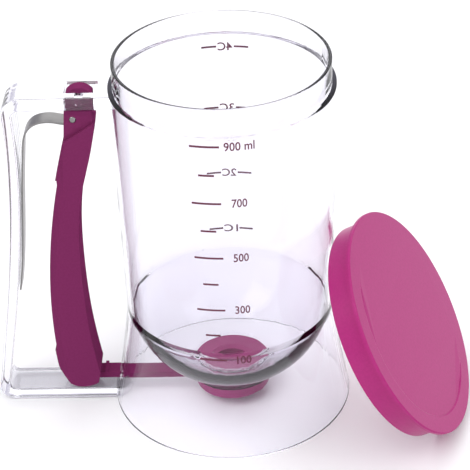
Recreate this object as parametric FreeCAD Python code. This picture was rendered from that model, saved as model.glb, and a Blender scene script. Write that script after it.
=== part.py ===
"""Pancake batter dispenser: a clear measuring jug on a flared skirt, with a funnel
bottom, a loop handle, a squeeze lever that draws a slide gate off the outlet, and a
loose cap that leans on the jug.

Millimetres, +Z up. The sub-parts are drawn about the jug's axis, with Z = 0 on the
table. They are then moved together, so that the origin lies on the table below the
middle of the whole object's box. The handle is on the -X side, and the printed scale
faces -Y.
"""
import FreeCAD, Part
import math
import os

# Jug: outer wall
JUG_HEIGHT = 181.0
COLLAR_RADIUS = 49.0
COLLAR_HEIGHT = 12.2
COLLAR_WALL = 1.6
BEAD_RADIUS = 51.0
BEAD_HEIGHT = 2.2
BEAD_SLOPE = 0.9
BODY_RADIUS = 50.2
BODY_STRAIGHT_FROM = 110.0
WAIST_RADIUS = 49.4
WALL = 2.2

# Funnel bottom and its neck
FUNNEL_TOP = 51.2
FUNNEL_BAND = 3.4
FUNNEL_WALL = 2.2
FUNNEL_BULGE = 4.0
FUNNEL_BULGE_STEP = 1.0
NECK_RADIUS = 20.2
NECK_WALL = 1.7
NECK_BOTTOM = 12.2
NECK_FLOOR = 2.0
NECK_HOLE_RADIUS = 15.2
NECK_TOP = 18.6

# Skirt
BASE_RADIUS = 57.8
SKIRT_MID_RADIUS = 53.0
SKIRT_MID_HEIGHT = 25.0
RIM_ROUND = 0.6

# Handle loop, a flat band
BAND_WIDTH = 18.0
TOP_BAR_Z = 160.2
TOP_BAR_THICKNESS = 6.2
BOTTOM_BAR_THICKNESS = 6.0
GRIP_THICKNESS = 5.6
GRIP_TOP_X = -99.9
GRIP_WAIST_X = -99.7
GRIP_WAIST_Z = 122.0
GRIP_LOW_X = -107.7
GRIP_LOW_Z = 50.0
GRIP_FOOT_X = -115.2
TOP_CORNER_RADIUS = 9.0
BOTTOM_CORNER_RADIUS = 7.0
INNER_CORNER_RADIUS = 3.0
BAND_ROUND = 1.1

# Lever, its tongue and its trunnion
PIVOT_X = -64.0
PIVOT_Z = TOP_BAR_Z + TOP_BAR_THICKNESS / 2
LEVER_WIDTH = 17.0
HEAD_WIDTH = 13.0
HEAD_BACK_X = -80.0
HEAD_FRONT_X = -50.0
HEAD_CUT_TOP = 175.0
SHOULDER_BACK_Z = 138.5
SHOULDER_FRONT_Z = 158.5
HEAD_HALF_LENGTH = 6.2
HEAD_GAP = 1.3
TONGUE_LENGTH = 12.0
TONGUE_WIDTH = 6.0
TONGUE_RISE = 2.2
TRUNNION_RADIUS = 1.8
TRUNNION_REACH = 1.6
TRUNNION_CLEARANCE = 0.08
SLOT_CLEARANCE = 0.3
SLOT_SWING = 0.7
LEVER_CHAMFER = 4.5
CHANNEL_WIDTH = 10.4
CHANNEL_DEPTH = 6.5
CHANNEL_REACH = 8.0
CHANNEL_FOOT_RISE = 10.0
FOOT_HEIGHT = 6.6

# Leaf spring and its pin
PIN_X = -67.2
PIN_Z = 154.6
PIN_RADIUS = 1.5
PIN_CHAMFER = 0.3
MOUTH_CLEARANCE = 0.6
MOUTH_BELOW = 1.6
MOUTH_REACH = 4.0
PIN_PROUD = 0.25
PIN_CLEARANCE = 0.05
LEAF_WIDTH = 9.0
LEAF_THICKNESS = 0.8
LEAF_GAP = 0.35
LEAF_END = 62.0

# Slide gate
GATE_THICKNESS = 3.0
GATE_BOTTOM = 8.6
BAR_WIDTH = 8.0
HEAD_BAR_LENGTH = 3.0
HEAD_BAR_WIDTH = 11.2
HOOK_X = -76.5
COLLAR_RIB_X = -62.6
COLLAR_RIB_LENGTH = 1.5
COLLAR_RIB_RISE = 1.3
PADDLE_RADIUS = 10.4
PADDLE_BACK = 12.0
FOOT_PLAY = 0.6
BAR_PLAY = 0.4
GATE_PLAY = 0.15

# Outlet valve
OUTLET_RADIUS = 8.5
SEAT_DISH_RADIUS = 10.8
SEAT_DISH_DEPTH = 1.2
FLANGE_THICKNESS = 2.3
WASHER_THICKNESS = 1.0
SEAT_CLEARANCE = 0.3
SLEEVE_WALL = 1.9
CAP_RADIUS = 18.0
CAP_BOTTOM = 5.2
CAP_FLOOR = 2.4
CAP_ROUND = 0.8
NOZZLE_WALL = 2.6

# Cap of the jug, taken off and leaning beside it
LID_RADIUS = 54.8
LID_TOP = 1.8
LID_SKIRT_DEPTH = 11.5
LID_SKIRT_WALL = 2.7
LID_FIT = 0.3
LID_EDGE_ROUND = 0.6
LID_PANEL_RADIUS = 46.0
LID_PANEL_DEPTH = 0.5
LID_AZIMUTH = -13.8
LID_TILT = 30.8
LID_LEAN_GAP = 0.3

AXIS_Z = FreeCAD.Vector(0, 0, 1)
AXIS_Y = FreeCAD.Vector(0, 1, 0)
ORIGIN = FreeCAD.Vector(0, 0, 0)

SHOULDER_Z = JUG_HEIGHT - COLLAR_HEIGHT
SEAM_HEIGHT = FUNNEL_TOP + FUNNEL_BAND
WAIST_HEIGHT = FUNNEL_TOP + FUNNEL_BAND / 2
GATE_TOP = GATE_BOTTOM + GATE_THICKNESS
SEAT_TOP = NECK_BOTTOM + NECK_FLOOR + WASHER_THICKNESS + FLANGE_THICKNESS
SLEEVE_RADIUS = NECK_HOLE_RADIUS - SEAT_CLEARANCE
FLANGE_RADIUS = NECK_RADIUS - NECK_WALL - SEAT_CLEARANCE


def vec(x, y, z):
    return FreeCAD.Vector(x, y, z)


def line(a, b):
    return Part.makeLine(a, b)


def arc(a, b, c):
    return Part.Arc(a, b, c).toShape()


def face_of(edges):
    return Part.Face(Part.Wire(edges))


def polygon(points):
    """Closed face through points given in order."""
    return Part.Face(Part.makePolygon(points + [points[0]]))


def ring_section(points):
    """Closed face in the XZ plane from (radius, height) pairs."""
    return polygon([vec(r, 0, z) for r, z in points])


def revolve(face):
    return face.revolve(ORIGIN, AXIS_Z, 360)


def cylinder(radius, low, high):
    return Part.makeCylinder(radius, high - low, vec(0, 0, low))


def box(x0, x1, y0, y1, z0, z1):
    return Part.makeBox(x1 - x0, y1 - y0, z1 - z0, vec(x0, y0, z0))


def across(face, width):
    """Extrude a face of the XZ plane to both sides of it."""
    moved = face.copy()
    moved.translate(vec(0, -width / 2, 0))
    return moved.extrude(vec(0, width, 0))


def spline(points):
    curve = Part.BSplineCurve()
    curve.interpolate([vec(x, 0, z) for x, z in points])
    return curve.toShape()


def edges_along_y(shape, places, reach=1.5):
    """The edges parallel to Y whose middle lies near one of the (x, z) places."""
    found = []
    for edge in shape.Edges:
        a, b = edge.Vertexes[0].Point, edge.Vertexes[-1].Point
        if abs(a.x - b.x) > 0.01 or abs(a.z - b.z) > 0.01 or abs(a.y - b.y) < 1:
            continue
        for x, z in places:
            if math.hypot(a.x - x, a.z - z) < reach:
                found.append(edge)
                break
    return found


def round_rim(solid, radius, heights):
    """Round the circular edges that lie at the given heights."""
    rims = []
    for edge in solid.Edges:
        flat = edge.BoundBox.ZLength < 0.01
        if flat and any(abs(edge.BoundBox.ZMin - z) < 0.01 for z in heights):
            rims.append(edge)
    return solid.makeFillet(radius, rims)


def body_radius_at(height):
    """Outer radius of the jug between its waist and its straight part."""
    share = (height - WAIST_HEIGHT) / (BODY_STRAIGHT_FROM - WAIST_HEIGHT)
    return WAIST_RADIUS + (BODY_RADIUS - WAIST_RADIUS) * share


def edges_through(points):
    """Straight edges from each (radius, height) pair to the next."""
    return [line(vec(a[0], 0, a[1]), vec(b[0], 0, b[1])) for a, b in zip(points, points[1:])]


def bead_outline():
    """Outer corners of the jug above its straight wall, up to the shoulder."""
    low = SHOULDER_Z - BEAD_HEIGHT
    return [(BODY_RADIUS, low), (BEAD_RADIUS, low + BEAD_SLOPE), (BEAD_RADIUS, SHOULDER_Z)]


def jug_wall():
    """Clear measuring wall, its bead and the collar that the cap fits over."""
    seam = body_radius_at(SEAM_HEIGHT)
    collar_in = COLLAR_RADIUS - COLLAR_WALL
    section = ring_section([
        (seam, SEAM_HEIGHT), (BODY_RADIUS, BODY_STRAIGHT_FROM), *bead_outline(),
        (COLLAR_RADIUS, SHOULDER_Z), (COLLAR_RADIUS, JUG_HEIGHT),
        (collar_in, JUG_HEIGHT), (collar_in, SHOULDER_Z + BEAD_SLOPE),
        (BODY_RADIUS - WALL, SHOULDER_Z - BEAD_HEIGHT), (BODY_RADIUS - WALL, BODY_STRAIGHT_FROM),
        (seam - WALL, SEAM_HEIGHT),
    ])
    return round_rim(revolve(section), RIM_ROUND, [JUG_HEIGHT])


def funnel():
    """Clear bowl under the jug wall that narrows to the neck of the outlet."""
    seam = body_radius_at(SEAM_HEIGHT)
    top_in = seam - WALL
    foot_in = WAIST_RADIUS - WALL
    neck_in = NECK_RADIUS - NECK_WALL
    neck_top_out = NECK_TOP - FUNNEL_WALL
    belly_in = ((top_in + neck_in) / 2 + FUNNEL_BULGE,
                (SEAM_HEIGHT + NECK_TOP) / 2 - FUNNEL_BULGE)
    belly_out = (belly_in[0] + FUNNEL_BULGE_STEP, (FUNNEL_TOP + neck_top_out) / 2 - FUNNEL_BULGE)
    edges = edges_through([
        (neck_in, NECK_TOP), (neck_in, NECK_BOTTOM + NECK_FLOOR),
        (NECK_HOLE_RADIUS, NECK_BOTTOM + NECK_FLOOR), (NECK_HOLE_RADIUS, NECK_BOTTOM),
        (NECK_RADIUS, NECK_BOTTOM), (NECK_RADIUS, neck_top_out),
    ])
    edges.append(arc(vec(NECK_RADIUS, 0, neck_top_out), vec(belly_out[0], 0, belly_out[1]),
                     vec(foot_in, 0, FUNNEL_TOP)))
    edges += edges_through([
        (foot_in, FUNNEL_TOP), (WAIST_RADIUS, FUNNEL_TOP), (WAIST_RADIUS, WAIST_HEIGHT),
        (seam, SEAM_HEIGHT), (top_in, SEAM_HEIGHT),
    ])
    edges.append(arc(vec(top_in, 0, SEAM_HEIGHT), vec(belly_in[0], 0, belly_in[1]),
                     vec(neck_in, 0, NECK_TOP)))
    return revolve(face_of(edges))


def skirt_solid():
    """The space inside the outer line of the skirt, filled."""
    edges = [
        line(vec(0, 0, 0), vec(BASE_RADIUS, 0, 0)),
        arc(vec(BASE_RADIUS, 0, 0), vec(SKIRT_MID_RADIUS, 0, SKIRT_MID_HEIGHT),
            vec(WAIST_RADIUS, 0, FUNNEL_TOP)),
        line(vec(WAIST_RADIUS, 0, FUNNEL_TOP), vec(0, 0, FUNNEL_TOP)),
        line(vec(0, 0, FUNNEL_TOP), vec(0, 0, 0)),
    ]
    return revolve(face_of(edges))


def gate_window():
    """The slot in the skirt that the gate's bar runs through."""
    half = HEAD_BAR_WIDTH / 2 + BAR_PLAY
    window = box(-BASE_RADIUS - 1, -WAIST_RADIUS + 3 * WALL, -half, half,
                 GATE_BOTTOM - BAR_PLAY, GATE_TOP + BAR_PLAY)
    return window


def skirt():
    """Clear flared skirt that the jug stands on, open below."""
    edges = [
        line(vec(BASE_RADIUS - WALL, 0, 0), vec(BASE_RADIUS, 0, 0)),
        arc(vec(BASE_RADIUS, 0, 0), vec(SKIRT_MID_RADIUS, 0, SKIRT_MID_HEIGHT),
            vec(WAIST_RADIUS, 0, FUNNEL_TOP)),
        line(vec(WAIST_RADIUS, 0, FUNNEL_TOP), vec(WAIST_RADIUS - WALL, 0, FUNNEL_TOP)),
        arc(vec(WAIST_RADIUS - WALL, 0, FUNNEL_TOP),
            vec(SKIRT_MID_RADIUS - WALL, 0, SKIRT_MID_HEIGHT),
            vec(BASE_RADIUS - WALL, 0, 0)),
    ]
    ring = round_rim(revolve(face_of(edges)), RIM_ROUND, [0])
    return ring.cut(gate_window())


def jug_solid():
    """The space inside the outer line of the jug above the skirt, filled."""
    section = ring_section([
        (0, FUNNEL_TOP), (WAIST_RADIUS, FUNNEL_TOP), (WAIST_RADIUS, WAIST_HEIGHT),
        (BODY_RADIUS, BODY_STRAIGHT_FROM), *bead_outline(), (0, SHOULDER_Z),
    ])
    return revolve(section)


def grip_line(offset, high, low):
    """Points down the grip from height high to height low, moved in by offset."""
    return [(GRIP_TOP_X + offset, high),
            (GRIP_WAIST_X + offset, GRIP_WAIST_Z),
            (GRIP_LOW_X + offset, GRIP_LOW_Z),
            (GRIP_FOOT_X + offset, low)]


def handle_loop():
    """Clear loop handle: top bar, waisted grip and bottom bar in one flat band."""
    top = TOP_BAR_Z + TOP_BAR_THICKNESS
    outer = grip_line(0, top, 0)
    inner = grip_line(GRIP_THICKNESS, TOP_BAR_Z, BOTTOM_BAR_THICKNESS)
    reach = 8 - COLLAR_RADIUS
    foot_reach = -WAIST_RADIUS
    edges = [
        line(vec(reach, 0, top), vec(outer[0][0], 0, top)),
        spline(outer),
        line(vec(outer[-1][0], 0, 0), vec(foot_reach, 0, 0)),
        line(vec(foot_reach, 0, 0), vec(foot_reach, 0, BOTTOM_BAR_THICKNESS)),
        line(vec(foot_reach, 0, BOTTOM_BAR_THICKNESS),
             vec(inner[-1][0], 0, BOTTOM_BAR_THICKNESS)),
        spline(inner[::-1]),
        line(vec(inner[0][0], 0, TOP_BAR_Z), vec(reach, 0, TOP_BAR_Z)),
        line(vec(reach, 0, TOP_BAR_Z), vec(reach, 0, top)),
    ]
    loop = across(face_of(edges), BAND_WIDTH)
    for radius, place in ((TOP_CORNER_RADIUS, (outer[0][0], top)),
                          (BOTTOM_CORNER_RADIUS, (outer[-1][0], 0)),
                          (INNER_CORNER_RADIUS, (inner[0][0], TOP_BAR_Z)),
                          (INNER_CORNER_RADIUS, (inner[-1][0], BOTTOM_BAR_THICKNESS))):
        loop = loop.makeFillet(radius, edges_along_y(loop, [place]))
    loop = round_band(loop).cut(jug_solid()).cut(skirt_solid())
    return loop.cut(tongue_slot()).cut(trunnion(TRUNNION_CLEARANCE))


def round_band(loop):
    """Round the long edges of the band."""
    long_edges = []
    for edge in loop.Edges:
        span = edge.BoundBox
        if span.YLength < 0.01 and abs(abs(span.YMin) - BAND_WIDTH / 2) < 0.01:
            long_edges.append(edge)
    return loop.makeFillet(BAND_ROUND, long_edges)


def tongue_slot():
    """The slot through the top bar that the lever's tongue rocks in."""
    half = TONGUE_LENGTH / 2 + SLOT_SWING
    side = TONGUE_WIDTH / 2 + SLOT_CLEARANCE
    return box(PIVOT_X - half, PIVOT_X + half, -side, side,
               TOP_BAR_Z - 1, TOP_BAR_Z + TOP_BAR_THICKNESS + 1)


def trunnion(clearance):
    """The stub axle on both sides of the tongue, or its seat in the bar."""
    length = TONGUE_WIDTH + 2 * (TRUNNION_REACH + clearance)
    start = vec(PIVOT_X, -length / 2, PIVOT_Z)
    return Part.makeCylinder(TRUNNION_RADIUS + clearance, length, start, AXIS_Y)


def tongue():
    """The domed tongue on top of the lever."""
    top = TOP_BAR_Z + TOP_BAR_THICKNESS
    half = TONGUE_LENGTH / 2
    low = TOP_BAR_Z - HEAD_GAP - 1
    edges = [
        line(vec(PIVOT_X - half, 0, low), vec(PIVOT_X + half, 0, low)),
        line(vec(PIVOT_X + half, 0, low), vec(PIVOT_X + half, 0, top - 1)),
        arc(vec(PIVOT_X + half, 0, top - 1), vec(PIVOT_X, 0, top + TONGUE_RISE),
            vec(PIVOT_X - half, 0, top - 1)),
        line(vec(PIVOT_X - half, 0, top - 1), vec(PIVOT_X - half, 0, low)),
    ]
    return across(face_of(edges), TONGUE_WIDTH)


def lever_front():
    """Finger side of the lever, from the head down to the foot."""
    return [(PIVOT_X + HEAD_HALF_LENGTH - 0.2, 150.0), (-59.6, 141.0), (-66.0, 116.0),
            (-69.3, 76.0), (-67.2, 34.0), (-64.4, 14.0)]


def lever_back():
    """Grip side of the lever, from the foot up to the head."""
    return [(-85.0, 16.0), (-86.8, 46.0), (-84.9, 81.0), (-78.9, 118.0), (-72.0, 145.0)]


def lever_outline():
    head_top = TOP_BAR_Z - HEAD_GAP
    front = lever_front()
    back = lever_back()
    head_front = vec(PIVOT_X + HEAD_HALF_LENGTH - 1, 0, head_top)
    head_back = vec(PIVOT_X - HEAD_HALF_LENGTH - 0.6, 0, head_top)
    toe = (front[-1][0] - 1.2, FOOT_HEIGHT + 2.2)
    heel = ((front[-1][0] + back[0][0]) / 2, FOOT_HEIGHT)
    return face_of([
        line(head_back, head_front),
        line(head_front, vec(front[0][0], 0, front[0][1])),
        spline(front),
        line(vec(front[-1][0], 0, front[-1][1]), vec(toe[0], 0, toe[1])),
        spline([toe, heel, back[0]]),
        spline(back),
        line(vec(back[-1][0], 0, back[-1][1]), head_back),
    ])


def lever_channel():
    """Hollow along the grip side of the lever, where the leaf spring nests."""
    back = lever_back()
    outer = [(x - CHANNEL_REACH, z) for x, z in back[:4]]
    inner = [(x + CHANNEL_DEPTH, z) for x, z in back[:4]]
    inner[0] = (inner[0][0], inner[0][1] + CHANNEL_FOOT_RISE)
    outer[0] = (outer[0][0], outer[0][1] + CHANNEL_FOOT_RISE)
    inner[-1] = (back[3][0] + 1.5, back[3][1] + 4)
    edges = [
        spline(inner),
        line(vec(inner[-1][0], 0, inner[-1][1]), vec(outer[-1][0], 0, outer[-1][1])),
        spline(outer[::-1]),
        line(vec(outer[0][0], 0, outer[0][1]), vec(inner[0][0], 0, inner[0][1])),
    ]
    return across(face_of(edges), CHANNEL_WIDTH)


def head_sides():
    """What is cut off both sides above the slanting shoulder of the lever."""
    wedge = polygon([vec(HEAD_BACK_X, 0, SHOULDER_BACK_Z), vec(HEAD_FRONT_X, 0, SHOULDER_FRONT_Z),
                     vec(HEAD_FRONT_X, 0, HEAD_CUT_TOP), vec(HEAD_BACK_X, 0, HEAD_CUT_TOP)])
    both = across(wedge, LEVER_WIDTH + 2)
    return both.cut(across(wedge, HEAD_WIDTH))


def head_mouth():
    """Pocket in the head for the rolled end of the leaf spring."""
    room = PIN_RADIUS + LEAF_THICKNESS + MOUTH_CLEARANCE
    half = LEAF_WIDTH / 2 + SLOT_CLEARANCE
    return box(PIVOT_X - HEAD_HALF_LENGTH - MOUTH_REACH, PIN_X + room, -half, half,
               PIN_Z - room - MOUTH_BELOW, PIN_Z + room)


def foot_pocket():
    """Opening under the foot that drops over the hooked end of the gate."""
    top = GATE_TOP + FOOT_PLAY
    wide = HEAD_BAR_WIDTH / 2 + FOOT_PLAY
    narrow = BAR_WIDTH / 2 + FOOT_PLAY
    half = HEAD_BAR_LENGTH / 2 + FOOT_PLAY
    hook = box(HOOK_X - half, HOOK_X + half, -wide, wide, 0, top)
    shank = box(HOOK_X, HOOK_X + 20, -narrow, narrow, 0, top)
    return hook.fuse(shank)


def long_back_edges(body):
    """The two long edges of the lever that face the grip."""
    back = lever_back()
    found = []
    for edge in body.Edges:
        span = edge.BoundBox
        long = span.ZLength > (back[-1][1] - back[0][1]) / 2
        if long and span.YLength < 0.01 and abs(span.XMin - back[1][0]) < 1:
            found.append(edge)
    return found


def lever():
    """Squeeze lever with its tongue, trunnion, spring channel and foot."""
    body = across(lever_outline(), LEVER_WIDTH)
    body = body.makeChamfer(LEVER_CHAMFER, long_back_edges(body))
    body = body.cut(head_sides())
    body = body.cut(lever_channel())
    body = body.cut(head_mouth()).cut(foot_pocket())
    body = body.cut(pin_hole())
    return body.fuse([tongue(), trunnion(0)]).removeSplitter()


def pin_hole():
    return Part.makeCylinder(PIN_RADIUS + PIN_CLEARANCE, HEAD_WIDTH + 2,
                             vec(PIN_X, -HEAD_WIDTH / 2 - 1, PIN_Z), AXIS_Y)


def spring_pin():
    """Steel pin that the rolled end of the leaf spring hangs on."""
    half = HEAD_WIDTH / 2 + PIN_PROUD
    pin = Part.makeCylinder(PIN_RADIUS, 2 * half, vec(PIN_X, -half, PIN_Z), AXIS_Y)
    return pin.makeChamfer(PIN_CHAMFER, [e for e in pin.Edges if e.BoundBox.YLength < 0.01])


def grip_face_x(height):
    """Where the inner face of the grip lies at a height."""
    face = spline(grip_line(GRIP_THICKNESS, TOP_BAR_Z, BOTTOM_BAR_THICKNESS))
    level = line(vec(2 * GRIP_FOOT_X, 0, height), vec(0, 0, height))
    return face.distToShape(level)[1][0][0].x


def band(points, thickness):
    """Closed XZ face of a strip that follows a smooth line through the points."""
    curve = Part.BSplineCurve()
    curve.interpolate([vec(x, 0, z) for x, z in points])
    sides = []
    for way in (1, -1):
        moved = []
        for point in points:
            here = curve.parameter(vec(point[0], 0, point[1]))
            along = curve.tangent(here)[0]
            moved.append((point[0] + way * along.z * thickness / 2,
                          point[1] - way * along.x * thickness / 2))
        sides.append(moved)
    left, right = sides
    return face_of([
        spline(left),
        line(vec(left[-1][0], 0, left[-1][1]), vec(right[-1][0], 0, right[-1][1])),
        spline(right[::-1]),
        line(vec(right[0][0], 0, right[0][1]), vec(left[0][0], 0, left[0][1])),
    ])


def leaf_spring():
    """Steel strip: rolled round the pin, arched out of the head and down the grip."""
    inside = PIN_RADIUS + PIN_CLEARANCE
    middle = inside + LEAF_THICKNESS / 2
    rest = LEAF_GAP + LEAF_THICKNESS / 2
    start = vec(PIN_X, -LEAF_WIDTH / 2, PIN_Z)
    eye = Part.makeCylinder(inside + LEAF_THICKNESS, LEAF_WIDTH, start, AXIS_Y)
    eye = eye.cut(Part.makeCylinder(inside, LEAF_WIDTH, start, AXIS_Y))
    eye = eye.cut(box(PIN_X - 2 * middle, PIN_X, -LEAF_WIDTH, LEAF_WIDTH,
                      PIN_Z - 2 * middle, PIN_Z))
    strip = band([(PIN_X, PIN_Z - middle), (-71.6, 151.4), (-76.5, 152.3), (-81.0, 152.4),
                  (-86.2, 150.6), (-89.6, 146.4), (-91.2, 139.0),
                  (grip_face_x(122) + rest + 0.3, 122), (grip_face_x(92) + rest, 92),
                  (grip_face_x(LEAF_END) + rest, LEAF_END)],
                 LEAF_THICKNESS)
    return across(strip, LEAF_WIDTH).fuse(eye).removeSplitter()


def slide_gate():
    """Slide gate: hooked end, bar, collar rib and the paddle that shuts the outlet."""
    half = BAR_WIDTH / 2
    hook = box(HOOK_X - HEAD_BAR_LENGTH / 2, HOOK_X + HEAD_BAR_LENGTH / 2,
               -HEAD_BAR_WIDTH / 2, HEAD_BAR_WIDTH / 2, GATE_BOTTOM, GATE_TOP)
    bar = box(HOOK_X, -PADDLE_BACK + 1, -half, half, GATE_BOTTOM, GATE_TOP)
    paddle = cylinder(PADDLE_RADIUS, GATE_BOTTOM, GATE_TOP)
    tail = box(-PADDLE_BACK, 0, -PADDLE_RADIUS, PADDLE_RADIUS, GATE_BOTTOM, GATE_TOP)
    rib = box(COLLAR_RIB_X, COLLAR_RIB_X + COLLAR_RIB_LENGTH, -half, half,
              GATE_TOP - 1, GATE_TOP + COLLAR_RIB_RISE)
    return hook.fuse([bar, paddle, tail, rib]).removeSplitter()


def gate_passage(play):
    """Room for the paddle to slide out towards the lever."""
    half = PADDLE_RADIUS + play
    low, high = GATE_BOTTOM - play, GATE_TOP + play
    return box(-CAP_RADIUS - 5, 0, -half, half, low, high).fuse(cylinder(half, low, high))


def valve_body():
    """Upper half of the outlet valve: flange in the neck, sleeve through its floor."""
    seat = NECK_BOTTOM + NECK_FLOOR + WASHER_THICKNESS
    low = CAP_BOTTOM + CAP_FLOOR
    outside = [
        (0, low), (SLEEVE_RADIUS, low), (SLEEVE_RADIUS, seat), (FLANGE_RADIUS, seat),
        (FLANGE_RADIUS, SEAT_TOP), (0, SEAT_TOP),
    ]
    body = revolve(ring_section(outside))
    dish = Part.makeCone(OUTLET_RADIUS, SEAT_DISH_RADIUS, SEAT_DISH_DEPTH,
                         vec(0, 0, SEAT_TOP - SEAT_DISH_DEPTH))
    bore = cylinder(OUTLET_RADIUS, low - 1, SEAT_TOP + 1)
    under = cylinder(SLEEVE_RADIUS - SLEEVE_WALL, low - 1, GATE_BOTTOM - GATE_PLAY)
    return body.cut(bore.fuse([dish, under])).cut(gate_passage(GATE_PLAY))


def seat_washer():
    """Silicone washer between the flange and the clear floor of the neck."""
    low = NECK_BOTTOM + NECK_FLOOR
    return cylinder(FLANGE_RADIUS, low, low + WASHER_THICKNESS).cut(
        cylinder(NECK_HOLE_RADIUS, low - 1, low + WASHER_THICKNESS + 1))


def outlet_cap():
    """Lower half of the valve: screwed on the sleeve, it carries the gate."""
    wall_in = SLEEVE_RADIUS + SEAT_CLEARANCE / 2
    ring_top = GATE_BOTTOM - GATE_PLAY
    nozzle = OUTLET_RADIUS + NOZZLE_WALL
    outside = [
        (OUTLET_RADIUS, CAP_BOTTOM), (CAP_RADIUS, CAP_BOTTOM),
        (CAP_RADIUS, NECK_BOTTOM - SEAT_CLEARANCE), (wall_in, NECK_BOTTOM - SEAT_CLEARANCE),
        (wall_in, CAP_BOTTOM + CAP_FLOOR), (nozzle, CAP_BOTTOM + CAP_FLOOR),
        (nozzle, ring_top), (OUTLET_RADIUS, ring_top),
    ]
    cap = round_rim(revolve(ring_section(outside)), CAP_ROUND, [CAP_BOTTOM])
    return cap.cut(gate_passage(GATE_PLAY))


def lid():
    """Push-on cap: a flat disc over a plain skirt, leaning open side to the jug."""
    skirt_in = COLLAR_RADIUS + LID_FIT
    skirt_out = skirt_in + LID_SKIRT_WALL
    section = [
        (0, -LID_TOP), (0, -LID_PANEL_DEPTH), (LID_PANEL_RADIUS, -LID_PANEL_DEPTH),
        (LID_PANEL_RADIUS + LID_PANEL_DEPTH, 0), (LID_RADIUS, 0), (LID_RADIUS, -LID_TOP),
        (skirt_out, -LID_TOP), (skirt_out, -LID_TOP - LID_SKIRT_DEPTH),
        (skirt_in, -LID_TOP - LID_SKIRT_DEPTH), (skirt_in, -LID_TOP),
    ]
    cap = revolve(ring_section(section))
    cap = round_rim(cap, LID_EDGE_ROUND, [0])
    edge = -LID_TOP - LID_SKIRT_DEPTH
    azimuth = math.radians(LID_AZIMUTH)
    tilt = math.radians(LID_TILT)
    lift = skirt_out * math.cos(tilt) - edge * math.sin(tilt)
    rest_height = lift + edge * math.sin(tilt) + skirt_out * math.cos(tilt)
    stand_off = (body_radius_at(rest_height) + LID_LEAN_GAP
                 + skirt_out * math.sin(tilt) - edge * math.cos(tilt))
    place = vec(stand_off * math.cos(azimuth), stand_off * math.sin(azimuth), lift)
    turn = FreeCAD.Rotation(AXIS_Z, LID_AZIMUTH).multiply(
        FreeCAD.Rotation(AXIS_Y, 90 - LID_TILT))
    cap.Placement = FreeCAD.Placement(place, turn)
    return cap


SUB_PARTS = {
    "jug_wall": jug_wall,
    "funnel": funnel,
    "skirt": skirt,
    "handle_loop": handle_loop,
    "lever": lever,
    "leaf_spring": leaf_spring,
    "spring_pin": spring_pin,
    "slide_gate": slide_gate,
    "valve_body": valve_body,
    "seat_washer": seat_washer,
    "outlet_cap": outlet_cap,
    "lid": lid,
}


def below_centre(shapes):
    """The point on the table below the middle of the whole object's box."""
    whole = FreeCAD.BoundBox()
    for shape in shapes.values():
        whole.add(shape.optimalBoundingBox())
    return vec((whole.XMin + whole.XMax) / 2, (whole.YMin + whole.YMax) / 2, 0)


def main():
    os.makedirs("parts", exist_ok=True)
    shapes = {name: make() for name, make in SUB_PARTS.items()}
    origin = below_centre(shapes)
    print("origin moved to", round(origin.x, 3), round(origin.y, 3))
    for name, shape in shapes.items():
        shape.translate(-origin)
        shape.exportStep("parts/" + name + ".step")
        print(name, "solids", len(shape.Solids), "valid", shape.isValid(),
              "volume", round(shape.Volume))


main()
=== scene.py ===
"""Studio scene of the batter dispenser: looks for the CAD frame, printed scale, camera."""

import bmesh
import bpy
import math
from mathutils import Matrix, Vector


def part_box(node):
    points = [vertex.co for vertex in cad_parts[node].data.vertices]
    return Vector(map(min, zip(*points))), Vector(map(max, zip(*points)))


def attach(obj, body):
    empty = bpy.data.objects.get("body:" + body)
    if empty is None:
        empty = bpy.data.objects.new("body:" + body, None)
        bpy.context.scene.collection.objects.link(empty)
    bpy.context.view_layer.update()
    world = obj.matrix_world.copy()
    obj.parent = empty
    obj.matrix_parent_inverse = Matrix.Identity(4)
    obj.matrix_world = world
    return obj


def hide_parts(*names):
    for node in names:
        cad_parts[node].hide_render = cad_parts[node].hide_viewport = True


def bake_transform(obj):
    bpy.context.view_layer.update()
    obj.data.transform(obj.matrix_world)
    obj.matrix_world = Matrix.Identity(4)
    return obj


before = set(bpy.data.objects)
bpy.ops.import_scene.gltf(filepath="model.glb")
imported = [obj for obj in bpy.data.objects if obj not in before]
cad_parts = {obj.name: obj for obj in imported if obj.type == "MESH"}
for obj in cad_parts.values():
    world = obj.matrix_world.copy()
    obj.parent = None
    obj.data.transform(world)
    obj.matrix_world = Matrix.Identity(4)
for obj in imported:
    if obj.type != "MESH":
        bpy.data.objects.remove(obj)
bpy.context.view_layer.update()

MM = 0.001

# Outer line of the jug and skirt, millimetres, that the print follows
BODY_RADIUS = 50.2
BODY_STRAIGHT_FROM = 110.0
WAIST_RADIUS = 49.4
WAIST_HEIGHT = 52.9
SKIRT_TOP = 51.2
SKIRT_SLOPE = 0.09
PRINT_LIFT = 0.06

# Printed scale on the front, millimetres: top mark, step, and where things lie across
SCALE_TOP = 163.9
SCALE_STEP = 14.05
SCALE_NUMBERS = ["900 ml", None, "700", None, "500", None, "300", None, "100"]
LONG_MARK = (-13.5, -0.6)
SHORT_MARK = (-10.1, -3.2)
NUMBER_SPAN = {"900 ml": (1.3, 14.6)}
PLAIN_NUMBER_SPAN = (3.9, 10.7)
MARK_THICKNESS = 1.0
LETTER_HEIGHT = 4.3
LETTER_BOLD = 0.014

# Cup marks on the back: height and number
CUP_MARKS = [(161.7, "4C"), (129.2, "3C"), (94.4, "2C"), (61.7, "1C")]
CUP_DASHES = [(-11.6, -4.6), (3.8, 11.0)]
CUP_NUMBER_SPAN = (-3.9, 3.2)

# How near two faces count as one, metres, and which edges stay sharp, degrees
SEAM_REACH = 0.00002
SHARP_ANGLE = 28
NORMAL_WEIGHT = 100

# Just past the radius and depth of the lid's shallow panel, which is drawn flush, metres
PANEL_RADIUS = 0.0465
PANEL_DEPTH = 0.0006

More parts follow.
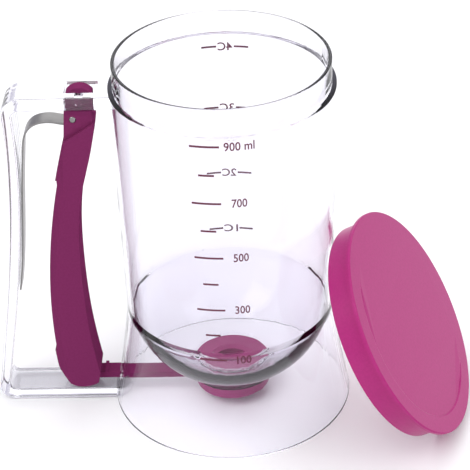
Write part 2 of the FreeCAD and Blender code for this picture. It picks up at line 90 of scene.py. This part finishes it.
# Camera of the photograph
CAMERA_PLACE = (22.75, -682.4, 523.6)
CAMERA_TARGET = (3.45, 0.10, 87.79)
CAMERA_ROLL = -1.97
CAMERA_LENS = 132.1
CAMERA_SENSOR = 36
CAMERA_NEAR = 0.01

# Colours, linear
MAGENTA = (0.185, 0.026, 0.098)
# The lid's magenta is lighter than the other magenta parts: painted light, standing in for
# light falling on its top
MAGENTA_LID_PAINTED_LIGHT = (0.40, 0.022, 0.17)
VALVE = (0.28, 0.03, 0.14)
PRINT_COLOUR = (0.12, 0.012, 0.04)
CLEAR_TINT = (0.953, 0.943, 0.983)
HANDLE_TINT = (0.935, 0.93, 0.972)
STEEL = (0.24, 0.235, 0.23)
SILICONE = (0.7, 0.68, 0.7)
FLOOR = (0.93, 0.93, 0.94)
HORIZON = (0.6, 0.58, 0.7)
ZENITH = (1, 1, 1)

# Refractive index of the thin clear walls and of the thick clear handle
WALL_BENDING = 1.32
HANDLE_BENDING = 1.46

# Fine surface relief: its depth, metres, and the noise levels where the two tones lie
RELIEF_DEPTH = 0.0004
DARK_LEVEL = 0.35
LIGHT_LEVEL = 0.65

# Share by which the darker and lighter tones of a coloured plastic and of steel differ
PLASTIC_DARKER = 0.96
PLASTIC_LIGHTER = 1.04
STEEL_DARKER = 0.92

# Floor, metres, what the lamps aim at, and how high the white of the surround starts
FLOOR_SIZE = 6
FLOOR_DROP = 0.0002
LAMP_AIM = (0, 0, 0.08)
ZENITH_LEVEL = 0.7

# Steps of a printed dash, and curve steps of the letters
DASH_STEPS = 8
LETTER_STEPS = 3

# Brightness of the surround, and the soft lights: name, place, size, power
SURROUND = 1.0
LIGHTS = [
    ("key", (-0.7, -0.5, 1.1), (0.9, 0.9), 6),
    ("fill", (0.9, -0.3, 0.7), (0.6, 1.0), 2.5),
    ("rim", (0.1, 1.0, 0.8), (1.2, 0.5), 2),
]


def jug_axis():
    """The jug's axis in the frame's X and Y."""
    low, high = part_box("jug_wall")
    return Vector(((low[0] + high[0]) / 2, (low[1] + high[1]) / 2, 0)) / MM


AXIS = jug_axis()


def material(name):
    made = bpy.data.materials.new(name)
    made.use_nodes = True
    return made, made.node_tree.nodes["Principled BSDF"]


def bump(made, shader, scale, strength, stretch=(1, 1, 1), detail=3):
    """Fine procedural surface relief on object coordinates."""
    nodes, links = made.node_tree.nodes, made.node_tree.links
    place = nodes.new("ShaderNodeTexCoord")
    mapping = nodes.new("ShaderNodeMapping")
    mapping.inputs["Scale"].default_value = stretch
    noise = nodes.new("ShaderNodeTexNoise")
    noise.inputs["Scale"].default_value = scale
    noise.inputs["Detail"].default_value = detail
    relief = nodes.new("ShaderNodeBump")
    relief.inputs["Strength"].default_value = strength
    relief.inputs["Distance"].default_value = RELIEF_DEPTH
    links.new(place.outputs["Object"], mapping.inputs["Vector"])
    links.new(mapping.outputs["Vector"], noise.inputs["Vector"])
    links.new(noise.outputs["Fac"], relief.inputs["Height"])
    links.new(relief.outputs["Normal"], shader.inputs["Normal"])
    return noise


def mottle(made, shader, noise, dark, light):
    """Very slight change of colour over the surface."""
    nodes, links = made.node_tree.nodes, made.node_tree.links
    ramp = nodes.new("ShaderNodeValToRGB")
    ramp.color_ramp.elements[0].position = DARK_LEVEL
    ramp.color_ramp.elements[0].color = (*dark, 1)
    ramp.color_ramp.elements[1].position = LIGHT_LEVEL
    ramp.color_ramp.elements[1].color = (*light, 1)
    links.new(noise.outputs["Fac"], ramp.inputs["Fac"])
    links.new(ramp.outputs["Color"], shader.inputs["Base Color"])


def clear_plastic(name, tint, roughness, bending):
    """Clear moulding: bending is its refractive index, lower for thin walls."""
    made, shader = material(name)
    shader.inputs["Base Color"].default_value = (*tint, 1)
    shader.inputs["Transmission Weight"].default_value = 1.0
    shader.inputs["Roughness"].default_value = roughness
    shader.inputs["IOR"].default_value = bending
    bump(made, shader, 30, 0.015)
    return made


def coloured_plastic(name, colour, roughness, shine):
    made, shader = material(name)
    shader.inputs["Roughness"].default_value = roughness
    shader.inputs["Specular IOR Level"].default_value = shine
    noise = bump(made, shader, 900, 0.05, detail=2)
    dark = tuple(c * PLASTIC_DARKER for c in colour)
    light = tuple(c * PLASTIC_LIGHTER for c in colour)
    mottle(made, shader, noise, dark, light)
    return made


def steel(name, roughness):
    made, shader = material(name)
    shader.inputs["Metallic"].default_value = 1.0
    shader.inputs["Roughness"].default_value = roughness
    noise = bump(made, shader, 260, 0.12, stretch=(1, 14, 1))
    mottle(made, shader, noise, tuple(c * STEEL_DARKER for c in STEEL), STEEL)
    return made


def silicone(name):
    made, shader = material(name)
    shader.inputs["Base Color"].default_value = (*SILICONE, 1)
    shader.inputs["Roughness"].default_value = 0.6
    bump(made, shader, 600, 0.1)
    return made


def ink(name):
    made, shader = material(name)
    shader.inputs["Base Color"].default_value = (*PRINT_COLOUR, 1)
    shader.inputs["Roughness"].default_value = 0.45
    bump(made, shader, 1500, 0.1)
    return made


def dress(node, made):
    """Give a CAD node its material."""
    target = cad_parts[node]
    target.data.materials.clear()
    target.data.materials.append(made)


def clear_shell(made):
    """Jug wall, funnel and skirt as one clear moulding, with no faces inside its seams."""
    parts = ("jug_wall", "funnel", "skirt")
    seams = [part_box("jug_wall")[0].z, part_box("skirt")[1].z]
    shell = bmesh.new()
    for node in parts:
        shell.from_mesh(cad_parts[node].data)
    hidden = []
    for face in shell.faces:
        for seam in seams:
            if all(abs(v.co.z - seam) < SEAM_REACH for v in face.verts):
                hidden.append(face)
    bmesh.ops.delete(shell, geom=hidden, context="FACES")
    bmesh.ops.remove_doubles(shell, verts=shell.verts, dist=SEAM_REACH)
    mesh = bpy.data.meshes.new("clear_shell")
    shell.to_mesh(mesh)
    shell.free()
    for face in mesh.polygons:
        face.use_smooth = True
    mesh.set_sharp_from_angle(angle=math.radians(SHARP_ANGLE))
    mesh.materials.append(made)
    piece = bpy.data.objects.new("clear_shell", mesh)
    bpy.context.scene.collection.objects.link(piece)
    normals = piece.modifiers.new("wall_normals", "WEIGHTED_NORMAL")
    normals.mode = "FACE_AREA"
    normals.weight = NORMAL_WEIGHT
    normals.keep_sharp = True
    piece.visible_shadow = False
    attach(piece, "jug")
    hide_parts(*parts)


def copied_mesh(node, made):
    """A separate copy of a CAD node's mesh, with its material."""
    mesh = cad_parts[node].data.copy()
    mesh.materials.clear()
    mesh.materials.append(made)
    piece = bpy.data.objects.new(node + "_surface", mesh)
    bpy.context.scene.collection.objects.link(piece)
    return piece


def flush_lid(made):
    """The lid with a plain disc: its shallow panel is lifted level with the rim."""
    piece = copied_mesh("lid", made)
    mesh = piece.data
    widest = max(mesh.polygons, key=lambda face: face.area)
    facing = widest.normal * (1 if widest.normal.z > 0 else -1)
    top = max(v.co.dot(facing) for v in mesh.vertices)
    level = [v.co for v in mesh.vertices if top - v.co.dot(facing) < SEAM_REACH]
    centre = sum(level, Vector()) / len(level)
    for vertex in mesh.vertices:
        depth = top - vertex.co.dot(facing)
        across = vertex.co - centre + facing * depth
        if depth < PANEL_DEPTH and across.length < PANEL_RADIUS:
            vertex.co += facing * depth
    mesh.update()
    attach(piece, "cap")
    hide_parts("lid")


def bending_leaf(made):
    """The leaf spring: a copy of its mesh, with its placement baked in."""
    piece = copied_mesh("leaf_spring", made)
    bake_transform(piece)
    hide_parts("leaf_spring")


def mesh_piece(name, vertices, faces, made):
    mesh = bpy.data.meshes.new(name)
    mesh.from_pydata(vertices, [], faces)
    mesh.validate()
    mesh.materials.append(made)
    piece = bpy.data.objects.new(name, mesh)
    bpy.context.scene.collection.objects.link(piece)
    return piece


def jug_radius(height):
    """Outer radius of the jug at a height, in millimetres."""
    if height < SKIRT_TOP:
        return WAIST_RADIUS + (SKIRT_TOP - height) * SKIRT_SLOPE
    share = min(1, (height - WAIST_HEIGHT) / (BODY_STRAIGHT_FROM - WAIST_HEIGHT))
    return WAIST_RADIUS + (BODY_RADIUS - WAIST_RADIUS) * max(0, share)


def on_wall(across, height, front, lift):
    """A point on the jug's outer wall, from the distance along it and the height."""
    radius = jug_radius(height) + lift
    angle = across / BODY_RADIUS
    side = -1 if front else 1
    return (AXIS + Vector((-side * radius * math.sin(angle),
                           side * radius * math.cos(angle), height))) * MM


def letters(words, span, height):
    """Outline triangles of generic sans-serif words, fitted into a span and a height."""
    curve = bpy.data.curves.new("words", "FONT")
    curve.body = words
    curve.resolution_u = LETTER_STEPS
    curve.offset = LETTER_BOLD
    holder = bpy.data.objects.new("words", curve)
    bpy.context.scene.collection.objects.link(holder)
    bpy.context.view_layer.update()
    mesh = bpy.data.meshes.new_from_object(holder)
    points = [v.co.copy() for v in mesh.vertices]
    faces = [tuple(face.vertices) for face in mesh.polygons]
    bpy.data.objects.remove(holder)
    left, right = min(p.x for p in points), max(p.x for p in points)
    low, high = min(p.y for p in points), max(p.y for p in points)
    wide = (span[1] - span[0]) / (right - left)
    tall = LETTER_HEIGHT / (high - low)
    flat = [(span[0] + (p.x - left) * wide, height + (p.y - (low + high) / 2) * tall)
            for p in points]
    return flat, faces


def dash(span, height):
    """A printed dash, in steps so that it can bend round the wall."""
    half = MARK_THICKNESS / 2
    flat = []
    for index in range(DASH_STEPS + 1):
        across = span[0] + (span[1] - span[0]) * index / DASH_STEPS
        flat += [(across, height - half), (across, height + half)]
    faces = [(2 * i, 2 * i + 2, 2 * i + 3, 2 * i + 1) for i in range(DASH_STEPS)]
    return flat, faces


def print_on_wall(name, patches, front, made):
    """One thin printed layer made of flat patches, wrapped on the jug."""
    vertices, faces = [], []
    for flat, tiles in patches:
        start = len(vertices)
        vertices += [on_wall(x, z, front, PRINT_LIFT) for x, z in flat]
        faces += [tuple(start + i for i in tile) for tile in tiles]
    piece = mesh_piece(name, vertices, faces, made)
    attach(piece, "jug")
    return piece


def front_print(made):
    patches = []
    for index, number in enumerate(SCALE_NUMBERS):
        height = SCALE_TOP - SCALE_STEP * index
        patches.append(dash(LONG_MARK if number else SHORT_MARK, height))
        if number:
            patches.append(letters(number, NUMBER_SPAN.get(number, PLAIN_NUMBER_SPAN), height))
    return print_on_wall("millilitre_print", patches, True, made)


def back_print(made):
    patches = []
    for height, number in CUP_MARKS:
        patches += [dash(span, height) for span in CUP_DASHES]
        patches.append(letters(number, CUP_NUMBER_SPAN, height))
    return print_on_wall("cup_print", patches, False, made)


def soft_surround():
    """White surround, dimmer near the horizon so that clear edges show."""
    world = bpy.data.worlds.new("studio")
    world.use_nodes = True
    nodes, links = world.node_tree.nodes, world.node_tree.links
    place = nodes.new("ShaderNodeTexCoord")
    split = nodes.new("ShaderNodeSeparateXYZ")
    ramp = nodes.new("ShaderNodeValToRGB")
    stops = ramp.color_ramp.elements
    stops[0].position = 0.0
    stops[0].color = (*HORIZON, 1)
    stops[1].position = ZENITH_LEVEL
    stops[1].color = (*ZENITH, 1)
    links.new(place.outputs["Generated"], split.inputs["Vector"])
    links.new(split.outputs["Z"], ramp.inputs["Fac"])
    links.new(ramp.outputs["Color"], nodes["Background"].inputs["Color"])
    nodes["Background"].inputs["Strength"].default_value = SURROUND
    return world


def studio():
    """White floor and soft lights."""
    bpy.ops.mesh.primitive_plane_add(size=FLOOR_SIZE, location=(0, 0, -FLOOR_DROP))
    floor = bpy.context.object
    floor.name = "floor"
    made, shader = material("floor_white")
    shader.inputs["Base Color"].default_value = (*FLOOR, 1)
    shader.inputs["Roughness"].default_value = 0.6
    floor.data.materials.append(made)
    bpy.context.scene.world = soft_surround()
    for name, place, size, power in LIGHTS:
        lamp = bpy.data.lights.new(name, "AREA")
        lamp.shape = "RECTANGLE"
        lamp.size, lamp.size_y = size
        lamp.energy = power
        holder = bpy.data.objects.new(name, lamp)
        bpy.context.scene.collection.objects.link(holder)
        holder.location = place
        aim = Vector(LAMP_AIM) - holder.location
        holder.rotation_euler = aim.to_track_quat("-Z", "Y").to_euler()


def photo_camera():
    """Camera of the photograph."""
    place = Vector(CAMERA_PLACE)
    aim = Vector(CAMERA_TARGET)
    back = (place - aim).normalized()
    level = Vector((0, 0, 1)).cross(back).normalized()
    upright = back.cross(level)
    roll = math.radians(CAMERA_ROLL)
    right = level * math.cos(roll) + upright * math.sin(roll)
    up = upright * math.cos(roll) - level * math.sin(roll)
    lens = bpy.data.cameras.new("photo_camera")
    lens.lens = CAMERA_LENS
    lens.sensor_width = CAMERA_SENSOR
    lens.clip_start = CAMERA_NEAR
    holder = bpy.data.objects.new("photo_camera", lens)
    bpy.context.scene.collection.objects.link(holder)
    rotation = Matrix((right, up, back)).transposed().to_4x4()
    holder.matrix_world = Matrix.Translation(AXIS * MM + place * MM) @ rotation
    bpy.context.scene.camera = holder


def main():
    clear = clear_plastic("clear_plastic", CLEAR_TINT, 0.02, WALL_BENDING)
    clear_handle = clear_plastic("clear_handle_plastic", HANDLE_TINT, 0.03, HANDLE_BENDING)
    magenta = coloured_plastic("magenta_plastic", MAGENTA, 0.45, 0.0)
    # A lighter copy of the magenta for the lid: painted light on its top
    lid_painted_light_plastic = coloured_plastic("magenta_lid_painted_light_plastic", MAGENTA_LID_PAINTED_LIGHT, 0.3, 0.2)
    valve_plastic = coloured_plastic("magenta_valve_plastic", VALVE, 0.35, 0.2)
    clear_shell(clear)
    dress("handle_loop", clear_handle)
    for node in ("lever", "slide_gate"):
        dress(node, magenta)
    for node in ("valve_body", "outlet_cap"):
        dress(node, valve_plastic)
    flush_lid(lid_painted_light_plastic)
    bending_leaf(steel("spring_steel", 0.3))
    dress("spring_pin", steel("pin_steel", 0.18))
    dress("seat_washer", silicone("washer_silicone"))
    printed = ink("printed_ink")
    front_print(printed)
    back_print(printed)
    studio()
    photo_camera()
    bpy.context.scene.view_settings.view_transform = "Standard"


main()
